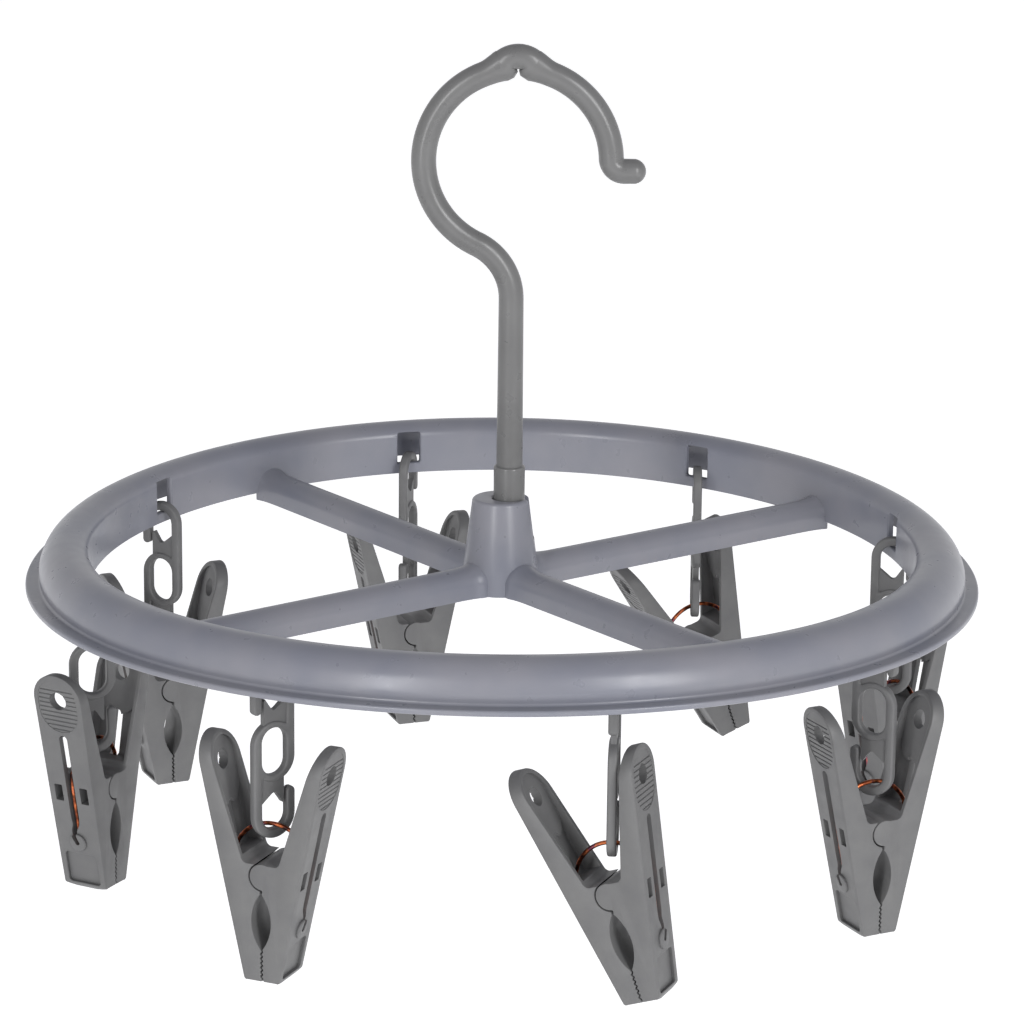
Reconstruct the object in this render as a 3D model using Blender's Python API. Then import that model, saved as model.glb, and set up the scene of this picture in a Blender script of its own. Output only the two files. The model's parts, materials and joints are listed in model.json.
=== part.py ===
"""Round drying hanger: a swivel hook carries a spoked ring, and eight spring clips hang from it on links.

Metres, +Z up. The origin is the underside of the notch at the top of the hook, where the hanger
rests on a rail. The hook bends in the XZ plane. Heights on the ring are counted from the bottom
edge of its inner wall, and heights on a clip from the tip of its jaws.
"""
import math

import bmesh
import bpy
from mathutils import Matrix, Vector

MM = 0.001
GAP = 0.3 * MM                      # clearance between pieces that touch

# Hook: a round rod with an S bend, a loop and a turned-out toe
ROD_R = 3.25 * MM
STEM_X = -1.25 * MM                 # the stem and the swivel axis stand a little behind the notch
LOOP_R = 24.1 * MM                  # centre line of the loop
BEND_R = 16.0 * MM                  # centre line of the bend that leads into it
LOOP_HEIGHT = 112.2 * MM            # loop centre above the ring's bottom edge
NOTCH_RISE = 3.0 * MM               # how far the rod steps outward at the top of the loop
NOTCH_HALF_ANGLE = math.radians(22)
TOE_START = math.radians(2.5)       # place round the loop where the toe turns out
TOE_BEND_R = 3.4 * MM
TOE_LENGTH = 4.0 * MM
COLLAR_R = 4.1 * MM
COLLAR_TOP = 31.4 * MM
NECK_R = 2.4 * MM
HEAD_R = 4.4 * MM
HEAD_BOTTOM = 3.6 * MM
HEAD_HEIGHT = 3.2 * MM
LEDGE = (7.1 * MM, 11.6 * MM)       # the hub's ledge, which rests on the hook's head

# Ring: a channel with a domed top and a lip round its outer edge
RING_OFFSET = STEM_X - 1.6 * MM     # the hub is bored off centre
WARP = 1.3 * MM                     # how far the rim sags at its left and right, and rises between
LIP_R = 125.0 * MM
OUTER_R = 121.5 * MM
INNER_R = 108.5 * MM
CREST_R = 114.0 * MM
RING_TOP = 14.0 * MM
OUTER_SHOULDER = 5.5 * MM           # height where the outer wall turns into the dome
INNER_SHOULDER = 10.5 * MM
LIP = (2.0 * MM, 3.6 * MM)
WALL = 1.6 * MM
RING_SIDES = 64
SPOKE_FIRST_ANGLE = math.radians(37)
SPOKE_COUNT = 4
SPOKE_WIDTH = 8.5 * MM
SPOKE_HEIGHT = 7.5 * MM
SPOKE_WALL = 1.7 * MM
SPOKE_DROP = 2.0 * MM               # spokes and hub stand this far below the inner wall
HUB_SHIFT = -0.5 * MM
HUB_TOP_R = 7.5 * MM
HUB_R = 9.7 * MM
HUB_SHOULDER = 7.0 * MM
HUB_TOP = 24.7 * MM
BORE_R = 4.4 * MM
CHAMBER_R = 5.3 * MM                # round the hook's head
SLOT_WIDTH = 4.4 * MM
WINDOW_WIDTH = 6.6 * MM
WINDOW = (3.0 * MM, 12.0 * MM)      # the strip below a window is the bar that a link hangs on
BAR_ROUND = 0.6 * MM

# Link: an oval eye between two hooks, the lower one the upper one turned half round
LINK_ROD = 2.4 * MM
LINK_HALF = 6.0 * MM
LINK_INNER = LINK_HALF - LINK_ROD
EYE_TOP = -8.6 * MM                 # below the centre of the upper hook
EYE_LENGTH = 15.4 * MM
EYE_HOLE = 12.0 * MM
TIP_DROP = 6.4 * MM                 # how far a hook's tip reaches past its centre
BARB_SIDE = 2.9 * MM
BARB_REACH = 5.9 * MM
BARB_NOTCH = 2.5 * MM

# Clip: two legs that meet at a round knuckle, closed by a bowed wire
CLIP = 1.07 * MM                    # unit of the clip's own sizes
CLIP_LENGTH = 58.0 * CLIP
JAW_DEPTH = 4.3 * CLIP              # centre line to outer face at the jaw's tip
FACE_SLOPE = math.tan(math.radians(12))
V_SLOPE = math.tan(math.radians(18))
V_BOTTOM = 29.4 * CLIP
V_HALF = 4.5 * CLIP
PIVOT = (0.4 * CLIP, 26.4 * CLIP)   # knuckle centre: across, up
KNUCKLE_R = 3.2 * CLIP
EYE_LENS = (8.7 * CLIP, 22.2 * CLIP, 2.45 * CLIP)
TOOTH_PITCH = 1.1 * CLIP
TOOTH_DEPTH = 0.6 * MM
TOOTH_COUNT = 7
JAW_WIDTH = 12.0 * CLIP
TOP_WIDTH = 13.4 * CLIP
LEG_PLATE = 1.6 * CLIP
LEG_SIDE = 1.25 * CLIP
FINGER_HOLE = (51.2 * CLIP, 2.3 * CLIP)
WIRE_SLOT = (15.0 * CLIP, 42.0 * CLIP, 2.3 * CLIP)
SLOT_DEPTH = 2.6 * CLIP
SIDE_WINDOW = (24.0 * CLIP, 28.3 * CLIP, 2.2 * CLIP, 3.6 * CLIP)
JAW_POCKET = (1.6 * CLIP, 9.8 * CLIP, 9.2 * CLIP, 0.9 * CLIP)
BOSS = (13.0 * CLIP, 2.0 * CLIP, 0.8 * CLIP, 0.95 * CLIP)
WIRE_R = 0.55 * MM
BOW_R = 10.0 * CLIP                 # radius of the wire's bow, about a point on the centre line
BOW_CENTRE = 27.5 * CLIP

# How each of the eight sets hangs, in degrees: link turned from the radial direction, clip's
# leg-to-leg direction from +X, the clip's lean in its own plane, and how far round the wire's
# bow the link's hook sits
FIRST_HANGER_ANGLE = 14.5
HANGERS = (
    (-30, 42, 0, 0), (30, 24, 20, 12), (-30, 20, 0, 0), (0, 25, 0, 0),
    (0, 62, 0, 0), (-22, -24, 0, 0), (-20, -24, 20, 14), (0, 27, 0, 0),
)

HOOK_TOP = LOOP_HEIGHT + LOOP_R + NOTCH_RISE - ROD_R
RING_BASE = -HOOK_TOP               # row height of the bottom edge of the ring's inner wall

LIGHT_GREY = (0.262, 0.262, 0.283)
HOOK_GREY = (0.165, 0.165, 0.168)
DARK_GREY = (0.127, 0.127, 0.130)
WIRE_BROWN = (0.300, 0.110, 0.060)


def clear_scene():
    for old in list(bpy.data.objects):
        bpy.data.objects.remove(old, do_unlink=True)


def plastic(name, colour, roughness, metallic=0.0):
    """Principled material with one colour."""
    result = bpy.data.materials.new(name)
    result.use_nodes = True
    shader = result.node_tree.nodes["Principled BSDF"]
    shader.inputs["Base Color"].default_value = (*colour, 1.0)
    shader.inputs["Roughness"].default_value = roughness
    shader.inputs["Metallic"].default_value = metallic
    return result


def solid(name, points, faces):
    """Object from points and faces, with its faces turned outward."""
    shape = bmesh.new()
    corners = [shape.verts.new(point) for point in points]
    for face in faces:
        shape.faces.new([corners[i] for i in face])
    bmesh.ops.recalc_face_normals(shape, faces=shape.faces)
    mesh = bpy.data.meshes.new(name)
    shape.to_mesh(mesh)
    shape.free()
    result = bpy.data.objects.new(name, mesh)
    bpy.context.collection.objects.link(result)
    return result


def prism(name, outline, low, high, plane="XZ"):
    """Outline in two axes, extruded along the third from low to high."""
    order = {"XZ": lambda a, b, c: (a, c, b), "YZ": lambda a, b, c: (c, a, b), "XY": lambda a, b, c: (a, b, c)}
    place = order[plane]
    count = len(outline)
    points = [place(a, b, low) for a, b in outline] + [place(a, b, high) for a, b in outline]
    faces = [tuple(range(count)), tuple(range(count, 2 * count))]
    faces += [(i, (i + 1) % count, count + (i + 1) % count, count + i) for i in range(count)]
    return solid(name, points, faces)


def turned(name, profile, sides, centre=(0.0, 0.0)):
    """Closed (radius, height) profile turned about a vertical axis; it may touch the axis."""
    on_axis = [radius < 1e-9 for radius, _ in profile]
    points = []
    index = {}
    for row, (radius, height) in enumerate(profile):
        for step in range(1 if on_axis[row] else sides):
            angle = 2 * math.pi * step / sides
            index[row, step] = len(points)
            points.append((centre[0] + radius * math.cos(angle), centre[1] + radius * math.sin(angle), height))
    faces = []
    for row in range(len(profile)):
        following = (row + 1) % len(profile)
        if on_axis[row] and on_axis[following]:
            continue
        for step in range(sides):
            other = (step + 1) % sides
            ring = [index[row, 0 if on_axis[row] else step]]
            if not on_axis[row]:
                ring.append(index[row, other])
            if not on_axis[following]:
                ring.append(index[following, other])
            ring.append(index[following, 0 if on_axis[following] else step])
            faces.append(tuple(ring))
    return solid(name, points, faces)


def tube(name, path, radius, sides, ends=1.0):
    """Round rod along a path, with closed ends drawn in to a given share of the radius."""
    path = [Vector(point) for point in path]
    count = len(path)
    ways = [(path[min(i + 1, count - 1)] - path[max(i - 1, 0)]).normalized() for i in range(count)]
    side = ways[0].orthogonal().normalized()
    points = []
    for i, (point, way) in enumerate(zip(path, ways)):
        side = (side - way * side.dot(way)).normalized()
        up = way.cross(side)
        size = radius * (ends if i in (0, count - 1) else 1.0)
        for step in range(sides):
            angle = 2 * math.pi * step / sides
            points.append(point + (side * math.cos(angle) + up * math.sin(angle)) * size)
    faces = [tuple(range(sides)), tuple(range((count - 1) * sides, count * sides))]
    for i in range(count - 1):
        for step in range(sides):
            other = (step + 1) % sides
            faces.append((i * sides + step, i * sides + other, (i + 1) * sides + other, (i + 1) * sides + step))
    return solid(name, points, faces)


def carve(body, tool, operation="DIFFERENCE"):
    """Join a tool to a body, or cut it away, and keep the result as the body's mesh."""
    step = body.modifiers.new(operation, "BOOLEAN")
    step.operation = operation
    step.solver = "EXACT"
    step.object = tool
    bpy.context.view_layer.update()
    evaluated = body.evaluated_get(bpy.context.evaluated_depsgraph_get())
    mesh = bpy.data.meshes.new_from_object(evaluated)
    body.modifiers.clear()
    body.data = mesh
    bpy.data.objects.remove(tool, do_unlink=True)


def arc(centre, radius, start, end, steps):
    """Points round an arc, angles in degrees; radius may be a pair for an ellipse."""
    across, up = radius if isinstance(radius, tuple) else (radius, radius)
    angles = [math.radians(start + (end - start) * i / steps) for i in range(steps + 1)]
    return [(centre[0] + across * math.cos(a), centre[1] + up * math.sin(a)) for a in angles]


def box_outline(low, high):
    return [(low[0], low[1]), (high[0], low[1]), (high[0], high[1]), (low[0], high[1])]


def finish(body, name, material, parent):
    """Name a body, give it its material and hang it on its joint's empty."""
    body.name = name
    body.data.materials.clear()
    body.data.materials.append(material)
    for face in body.data.polygons:
        face.use_smooth = True
    body.data.set_sharp_from_angle(angle=math.radians(35))
    body.parent = parent
    return body


def axis_empty(name, parent, matrix):
    """Empty on a joint's axis; the matrix is relative to its parent."""
    empty = bpy.data.objects.new(name, None)
    bpy.context.collection.objects.link(empty)
    empty.parent = parent
    empty.matrix_local = matrix
    empty.empty_display_size = 5 * MM
    return empty


def hook_path():
    """Centre line of the rod above the collar, as (x, height) pairs."""
    spread = BEND_R + LOOP_R
    aside = BEND_R - STEM_X
    bend_height = LOOP_HEIGHT - math.sqrt(spread ** 2 - aside ** 2)
    meet = math.degrees(math.acos(aside / spread))
    path = [(STEM_X, COLLAR_TOP - 2 * MM), (STEM_X, (COLLAR_TOP + bend_height) / 2)]
    path += arc((-aside, bend_height), BEND_R, 0, meet, 7)
    steps = 28
    start = math.radians(180 + meet)
    for i in range(1, steps + 1):
        angle = start + (TOE_START - start) * i / steps
        away = min(abs(angle - math.pi / 2) / NOTCH_HALF_ANGLE, 1.0)
        radius = LOOP_R + NOTCH_RISE * math.cos(away * math.pi / 2) ** 2
        path.append((radius * math.cos(angle), LOOP_HEIGHT + radius * math.sin(angle)))
    toe = (LOOP_R * math.cos(TOE_START) + TOE_BEND_R, LOOP_HEIGHT + LOOP_R * math.sin(TOE_START))
    path += arc(toe, TOE_BEND_R, 180, 270, 4)[1:]
    end, toe_height = toe[0] + TOE_LENGTH, toe[1]
    path += [(end, toe_height - TOE_BEND_R), (end + 1.6 * MM, toe_height - TOE_BEND_R)]
    return [(x, 0.0, height + RING_BASE) for x, height in path]


def build_hook(material):
    """Rod, collar, neck and head in one piece; the head sits under the hub's ledge."""
    rod = tube("rod", hook_path(), ROD_R, 12, ends=0.75)
    collar_bottom = LEDGE[1] + GAP
    steps = [
        (0.0, HEAD_BOTTOM), (HEAD_R, HEAD_BOTTOM), (HEAD_R, HEAD_BOTTOM + HEAD_HEIGHT),
        (NECK_R, HEAD_BOTTOM + HEAD_HEIGHT), (NECK_R, collar_bottom), (COLLAR_R, collar_bottom),
        (COLLAR_R, COLLAR_TOP), (0.0, COLLAR_TOP),
    ]
    stem = turned("stem", [(radius, height + RING_BASE) for radius, height in steps], 24, (STEM_X, 0.0))
    carve(rod, stem, "UNION")
    return finish(rod, "swivel_hook", material, None)


def ring_profile():
    """Section of the ring's channel as (radius, height), outer side first."""
    outer = [(LIP_R, LIP[0]), (LIP_R, LIP[1]), (OUTER_R, LIP[1])]
    outer += arc((CREST_R, OUTER_SHOULDER), (OUTER_R - CREST_R, RING_TOP - OUTER_SHOULDER), 0, 90, 5)
    shoulder = arc((CREST_R, INNER_SHOULDER), (CREST_R - INNER_R, RING_TOP - INNER_SHOULDER), 90, 180, 3)
    outer += shoulder[1:] + [(INNER_R, 0.0), (INNER_R + WALL, 0.0)]
    size = (CREST_R - INNER_R - WALL, RING_TOP - INNER_SHOULDER - WALL)
    inside = arc((CREST_R, INNER_SHOULDER), size, 180, 90, 2)
    size = (OUTER_R - CREST_R - WALL, RING_TOP - OUTER_SHOULDER - WALL)
    inside += arc((CREST_R, OUTER_SHOULDER), size, 90, 0, 3)[1:]
    return outer + inside + [(OUTER_R - WALL, LIP[0])]


def spoke_outline(shrink):
    """Arched section of a spoke, as (across, height); shrink gives the hollow inside it."""
    half = SPOKE_WIDTH / 2 - shrink
    straight = SPOKE_HEIGHT - SPOKE_WIDTH / 2
    foot = -1.0 * MM if shrink else 0.0
    return [(half, foot)] + arc((0.0, straight), half, 0, 180, 8) + [(-half, foot)]


def window_outline():
    """Section of a window through the inner wall, as (radius, height); it leaves the bar's top rounded."""
    low, high = WINDOW
    near, far = INNER_R, INNER_R + WALL
    return [
        (near - MM, low - BAR_ROUND), (near, low - BAR_ROUND), (near + BAR_ROUND, low), (far - BAR_ROUND, low),
        (far, low - BAR_ROUND), (far + WALL, low - BAR_ROUND), (far + WALL, high), (near - MM, high),
    ]


def warp(point):
    """Height that the rim's slight saddle shape adds at a point."""
    return WARP * (point[1] ** 2 - (point[0] - RING_OFFSET) ** 2) / LIP_R ** 2


def radial(body, angle, drop=0.0):
    """Turn a body that points along +X to an angle about the ring's centre, at the ring's height or lower."""
    body.data.transform(Matrix.Translation((RING_OFFSET, 0, RING_BASE - drop)) @ Matrix.Rotation(angle, 4, "Z"))
    return body


def build_frame(material, parent):
    """Ring, four arched spokes and a tapered hub, moulded as one piece."""
    centre = (RING_OFFSET, 0.0)
    ring = turned("ring", [(r, h + RING_BASE) for r, h in ring_profile()], RING_SIDES, centre)
    hub_steps = [(0.0, 0.0), (HUB_R, 0.0), (HUB_R, HUB_SHOULDER), (HUB_TOP_R, HUB_TOP), (0.0, HUB_TOP)]
    hub_steps = [(r, h + RING_BASE - SPOKE_DROP) for r, h in hub_steps]
    hub = turned("hub", hub_steps, 32, (RING_OFFSET + HUB_SHIFT, 0.0))
    angles = [SPOKE_FIRST_ANGLE + 2 * math.pi * i / SPOKE_COUNT for i in range(SPOKE_COUNT)]
    for angle in angles:
        spoke = prism("spoke", spoke_outline(0.0), 5 * MM, INNER_R + WALL / 2, "YZ")
        carve(hub, radial(spoke, angle, SPOKE_DROP), "UNION")
    carve(ring, hub, "UNION")
    for angle in angles:
        hollow = prism("hollow", spoke_outline(SPOKE_WALL), HUB_R + 1.5 * MM, INNER_R - 1.0 * MM, "YZ")
        carve(ring, radial(hollow, angle, SPOKE_DROP))
    bore = [
        (0.0, -4 * MM), (CHAMBER_R, -4 * MM), (CHAMBER_R, LEDGE[0]), (NECK_R + GAP, LEDGE[0]),
        (NECK_R + GAP, LEDGE[1]), (BORE_R, LEDGE[1]), (BORE_R, HUB_TOP + 2 * MM), (0.0, HUB_TOP + 2 * MM),
    ]
    carve(ring, turned("bore", [(r, h + RING_BASE) for r, h in bore], 24, (STEM_X, 0.0)))
    slot = box_outline((-SLOT_WIDTH / 2, LEDGE[1] + RING_BASE), (SLOT_WIDTH / 2, HUB_TOP + 2 * MM + RING_BASE))
    carve(ring, prism("slot", slot, STEM_X + BORE_R - 2 * MM, STEM_X + HUB_R, "YZ"))
    for index in range(len(HANGERS)):
        window = prism("window", window_outline(), -WINDOW_WIDTH / 2, WINDOW_WIDTH / 2)
        carve(ring, radial(window, math.radians(FIRST_HANGER_ANGLE + 45 * index)))
    for vertex in ring.data.vertices:
        vertex.co.z += warp(vertex.co)
    ring.data.transform(parent.matrix_local.inverted())
    return finish(ring, "ring_frame", material, parent)


def link_outline():
    """Edge of a link: one hook, one side of the eye and the next barb, then the same turned half round."""
    centre = EYE_TOP - EYE_LENGTH / 2
    foot = 2 * centre
    eye_bottom = EYE_TOP - EYE_LENGTH
    side = math.degrees(math.acos(BARB_SIDE / LINK_HALF))
    half = arc((0.0, 0.0), LINK_HALF, 0, 180, 12)
    half += arc((0.0, eye_bottom + LINK_HALF), LINK_HALF, 180, 180 + side, 5)
    half += [
        (-BARB_SIDE, eye_bottom - BARB_REACH + 0.6 * MM), (-BARB_SIDE + 0.4 * MM, eye_bottom - BARB_REACH),
        (0.0, eye_bottom - BARB_NOTCH), (LINK_INNER - 1.0 * MM, eye_bottom - BARB_NOTCH - 1.2 * MM),
        (LINK_INNER, eye_bottom - BARB_NOTCH - 3.4 * MM),
    ]
    half += arc((0.0, foot), LINK_INNER, 0, -180, 10)
    half += arc((-LINK_HALF + LINK_ROD / 2, foot + TIP_DROP - LINK_ROD / 2), LINK_ROD / 2, 0, 180, 4)
    return half + [(-x, foot - z) for x, z in half]


def build_link():
    """Flat moulded link with its eye cut through; its upper hook is centred on the origin."""
    link = prism("link", link_outline(), -LINK_ROD / 2, LINK_ROD / 2)
    top = EYE_TOP - (EYE_LENGTH - EYE_HOLE) / 2 - LINK_INNER
    bottom = top - (EYE_HOLE - 2 * LINK_INNER)
    eye = arc((0.0, top), LINK_INNER, 0, 180, 8) + arc((0.0, bottom), LINK_INNER, 180, 360, 8)
    carve(link, prism("eye", eye, -LINK_ROD, LINK_ROD))
    return link.data


def face(height, depth=0.0):
    """Distance from the clip's centre line to its outer face, or to a plane below that face."""
    return JAW_DEPTH + FACE_SLOPE * height - depth


def meeting_edge(knuckled):
    """Edge where one leg meets the other, from the floor of the V down to the jaw's tip."""
    rise = math.degrees(math.asin((V_BOTTOM - PIVOT[1]) / (KNUCKLE_R + (0 if knuckled else GAP))))
    side = 1 if knuckled else -1
    clear = 0.2 * MM
    if knuckled:
        edge = arc(PIVOT, KNUCKLE_R, rise, 270, 12)
    else:
        edge = arc(PIVOT, KNUCKLE_R + GAP, 180 - rise, 260, 8)
    half = (EYE_LENS[1] - EYE_LENS[0]) / 2
    bulge = EYE_LENS[2] - clear
    radius = (half ** 2 + bulge ** 2) / (2 * bulge)
    middle = (side * (EYE_LENS[2] - radius), EYE_LENS[0] + half)
    span = math.degrees(math.asin(half / radius))
    lens = arc(middle, radius, span, -span, 6) if knuckled else arc(middle, radius, 180 - span, 180 + span, 6)
    edge += lens
    for step in range(1, 2 * TOOTH_COUNT):
        wave = TOOTH_DEPTH / 2 * (1 if step % 2 else -1)
        edge.append((wave + side * clear, EYE_LENS[0] - step * TOOTH_PITCH / 2))
    return edge + [(side * clear, 0.0)]


def tongue(name, inset, side):
    """Front view of a leg, a tapering strip with a round top, as a solid that reaches through the leg."""
    foot = JAW_WIDTH / 2 - inset
    top = TOP_WIDTH / 2 - inset
    outline = [(foot, -MM)] + arc((0.0, CLIP_LENGTH - TOP_WIDTH / 2), top, 0, 180, 12) + [(-foot, -MM)]
    low, high = sorted((side * -4 * MM, side * 20 * MM))
    return prism(name, outline, low, high, "YZ")


def slab(name, span, width, depth, side, middle=0.0):
    """Cutter that follows the outer face over a span of heights, to a depth below it."""
    low, high = span
    outline = [(face(low, -MM), low), (face(high, -MM), high), (face(high, depth), high), (face(low, depth), low)]
    return prism(name, [(side * u, v) for u, v in outline], middle - width / 2, middle + width / 2)


def disc(name, height, radius, reach, side, sides=14):
    """Round bar across the clip, between two distances from its centre line."""
    low, high = sorted(side * distance for distance in reach)
    return prism(name, arc((0.0, height), radius, 0, 360 - 360 / sides, sides - 1), low, high, "YZ")


def build_leg(knuckled):
    """One leg, in clip axes: X from leg to leg, Y across the width, Z up from the jaw's tip."""
    side = 1 if knuckled else -1
    inner_top = V_HALF + V_SLOPE * (CLIP_LENGTH - V_BOTTOM)
    outer = [(face(0.0) - MM, 0.0), (face(MM), MM), (face(CLIP_LENGTH), CLIP_LENGTH), (inner_top, CLIP_LENGTH)]
    outline = [(side * u, v) for u, v in outer + [(V_HALF, V_BOTTOM)]] + meeting_edge(knuckled)
    leg = prism("leg", outline, -TOP_WIDTH, TOP_WIDTH)
    carve(leg, tongue("front", 0.0, side), "INTERSECT")
    floor = V_BOTTOM + LEG_PLATE
    hollow = [(face(floor, LEG_PLATE), floor), (face(CLIP_LENGTH, LEG_PLATE), CLIP_LENGTH), (0, CLIP_LENGTH), (0, floor)]
    hollow = prism("hollow", [(side * u, v) for u, v in hollow], -TOP_WIDTH, TOP_WIDTH)
    carve(hollow, tongue("inside", LEG_SIDE, side), "INTERSECT")
    carve(leg, hollow)
    height, radius, proud, hole = BOSS
    carve(leg, disc("boss", height, radius, (face(height, 1.5 * MM), face(height, -proud)), side), "UNION")
    carve(leg, disc("hole", height, hole, (face(height, SLOT_DEPTH), face(height, -3 * MM)), side, 10))
    carve(leg, slab("slot", (height, WIRE_SLOT[1]), WIRE_SLOT[2] * 0.8, SLOT_DEPTH, side))
    carve(leg, disc("finger_hole", *FINGER_HOLE, (face(40 * CLIP, 2 * LEG_PLATE), face(CLIP_LENGTH, -MM)), side))
    low, high, width, middle = SIDE_WINDOW
    for place in (-middle, middle):
        carve(leg, slab("window", (low, high), width, LEG_PLATE, side, place))
    low, high, width, depth = JAW_POCKET
    carve(leg, slab("pocket", (low, high), width, depth, side))
    return leg.data


def build_spring():
    """Bent wire: an arm down each leg's slot, joined by a bow across the V."""
    arm = [(face(height, 1.05 * CLIP), height) for height in (BOSS[0], 20 * CLIP, 26 * CLIP)]
    bow = [(BOW_R * math.sin(math.radians(a)), BOW_CENTRE + BOW_R * math.cos(math.radians(a)))
           for a in range(75, -76, -15)]
    path = arm + bow + [(-u, v) for u, v in reversed(arm)]
    spring = tube("spring", [(u, 0.0, v) for u, v in path], WIRE_R, 6)
    return spring.data


def seat_rise(half_thickness, angle_between):
    """How far a bar that crosses a link's hook at a slant stands off the bottom of the hook's curve."""
    slant = abs(math.sin(math.radians(angle_between)))
    reach = LINK_ROD / 2 * math.sqrt(1 - slant ** 2) / slant + half_thickness / slant
    return LINK_INNER - math.sqrt(LINK_INNER ** 2 - reach ** 2)


def copy_of(mesh, name, material, parent, matrix):
    """One more object from a shared mesh, placed relative to its joint's empty."""
    copy = bpy.data.objects.new(name, mesh)
    bpy.context.collection.objects.link(copy)
    finish(copy, name, material, parent)
    copy.matrix_local = matrix
    return copy


def build_hanging_set(number, meshes, materials, swivel):
    """A link, its clip and the joints between them, at one window of the ring."""
    turn, bow_angle, lean, along = HANGERS[number - 1]
    around = FIRST_HANGER_ANGLE + 45 * (number - 1)
    radius = INNER_R + WALL / 2
    hook_height = WINDOW[0] + GAP - LINK_INNER + seat_rise(WALL / 2, 90 - turn)
    where = Vector((RING_OFFSET + radius * math.cos(math.radians(around)),
                    radius * math.sin(math.radians(around)), RING_BASE + hook_height))
    where.z += warp(where)
    link_frame = Matrix.Translation(where) @ Matrix.Rotation(math.radians(around), 4, "Z")
    link_axis = axis_empty(f"link_axis_{number}", swivel, swivel.matrix_local.inverted() @ link_frame)
    link_turn = Matrix.Rotation(math.radians(turn), 4, "Z")
    copy_of(meshes["link"], f"link_{number}", materials["dark"], link_axis, link_turn)

    drop = 2 * (EYE_TOP - EYE_LENGTH / 2) - LINK_INNER + GAP + WIRE_R + seat_rise(WIRE_R, around + turn - bow_angle)
    clip_frame = Matrix.Translation(where + Vector((0, 0, drop))) @ Matrix.Rotation(math.radians(bow_angle), 4, "Z")
    clip_axis = axis_empty(f"clip_axis_{number}", link_axis, link_frame.inverted() @ clip_frame)
    along = math.radians(along)
    seat = Vector((BOW_R * math.sin(along), 0, BOW_CENTRE + BOW_R * math.cos(along)))
    body = Matrix.Rotation(math.radians(-lean), 4, "Y") @ Matrix.Translation(-seat)
    copy_of(meshes["knuckle_leg"], f"knuckle_leg_{number}", materials["dark"], clip_axis, body)
    copy_of(meshes["spring"], f"spring_{number}", materials["wire"], clip_axis, body)

    pivot = Matrix.Translation((PIVOT[0], 0, PIVOT[1]))
    jaw_axis = axis_empty(f"jaw_axis_{number}", clip_axis, body @ pivot)
    copy_of(meshes["socket_leg"], f"socket_leg_{number}", materials["dark"], jaw_axis, pivot.inverted())


def main():
    clear_scene()
    materials = {
        "frame": plastic("frame_grey", LIGHT_GREY, 0.35), "hook": plastic("hook_grey", HOOK_GREY, 0.4),
        "dark": plastic("clip_grey", DARK_GREY, 0.5), "wire": plastic("spring_wire", WIRE_BROWN, 0.3, 0.9),
    }
    swivel = axis_empty("swivel_axis", None, Matrix.Translation((STEM_X, 0, RING_BASE)))
    build_hook(materials["hook"])
    build_frame(materials["frame"], swivel)
    meshes = {"link": build_link(), "socket_leg": build_leg(False), "knuckle_leg": build_leg(True),
              "spring": build_spring()}
    for scratch in [item for item in bpy.data.objects if item.data in meshes.values()]:
        bpy.data.objects.remove(scratch, do_unlink=True)
    for number in range(1, len(HANGERS) + 1):
        build_hanging_set(number, meshes, materials, swivel)
    bpy.context.view_layer.update()


main()
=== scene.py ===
# %% [markdown]
# # A round drying hanger with eight clips
#
# The real thing is moulded polypropylene: a grey hook that swivels in the hub of a spoked ring,
# and eight sprung clips that hang from the ring on little hooked links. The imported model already
# says where every piece sits and how it moves. This lesson gives each piece its true surface and
# its finish. Each step says what the piece is, how it could be made, and why this way was chosen.

# %% Load the frame
import json
import math

import bmesh
import bpy
import numpy as np
from mathutils import Matrix, Vector


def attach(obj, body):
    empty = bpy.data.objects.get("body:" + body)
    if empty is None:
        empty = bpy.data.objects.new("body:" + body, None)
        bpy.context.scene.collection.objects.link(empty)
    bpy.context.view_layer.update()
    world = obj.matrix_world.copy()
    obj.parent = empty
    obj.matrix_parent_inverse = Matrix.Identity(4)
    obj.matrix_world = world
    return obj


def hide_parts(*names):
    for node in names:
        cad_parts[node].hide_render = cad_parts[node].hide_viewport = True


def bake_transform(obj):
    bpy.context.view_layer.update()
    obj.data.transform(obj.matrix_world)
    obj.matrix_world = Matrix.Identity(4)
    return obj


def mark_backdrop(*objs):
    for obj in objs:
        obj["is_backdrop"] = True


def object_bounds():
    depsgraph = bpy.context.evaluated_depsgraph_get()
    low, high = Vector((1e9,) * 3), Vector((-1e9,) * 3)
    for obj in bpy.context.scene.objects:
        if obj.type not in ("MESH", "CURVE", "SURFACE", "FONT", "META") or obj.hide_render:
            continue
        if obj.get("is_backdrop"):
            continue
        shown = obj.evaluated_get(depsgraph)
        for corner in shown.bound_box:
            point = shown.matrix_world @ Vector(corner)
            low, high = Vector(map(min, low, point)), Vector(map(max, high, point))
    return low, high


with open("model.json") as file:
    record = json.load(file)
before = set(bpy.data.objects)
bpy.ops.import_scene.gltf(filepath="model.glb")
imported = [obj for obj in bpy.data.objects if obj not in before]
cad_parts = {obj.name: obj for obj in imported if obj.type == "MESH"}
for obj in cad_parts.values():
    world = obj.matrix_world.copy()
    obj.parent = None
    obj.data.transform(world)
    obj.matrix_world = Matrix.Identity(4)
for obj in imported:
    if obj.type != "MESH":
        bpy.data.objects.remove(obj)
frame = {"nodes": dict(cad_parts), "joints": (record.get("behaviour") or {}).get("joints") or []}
cad_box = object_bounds()
MM = 0.001
GAP = 0.3 * MM                  # clearance between pieces that touch
JOINTS = {joint["name"]: joint for joint in frame["joints"]}
RING_BASE = JOINTS["hook_swivel"]["pos_m"][2] - 9.0 * MM
print(f"{len(frame['nodes'])} nodes, {len(JOINTS)} joints, ring bottom at {RING_BASE / MM:.1f} mm")

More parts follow.
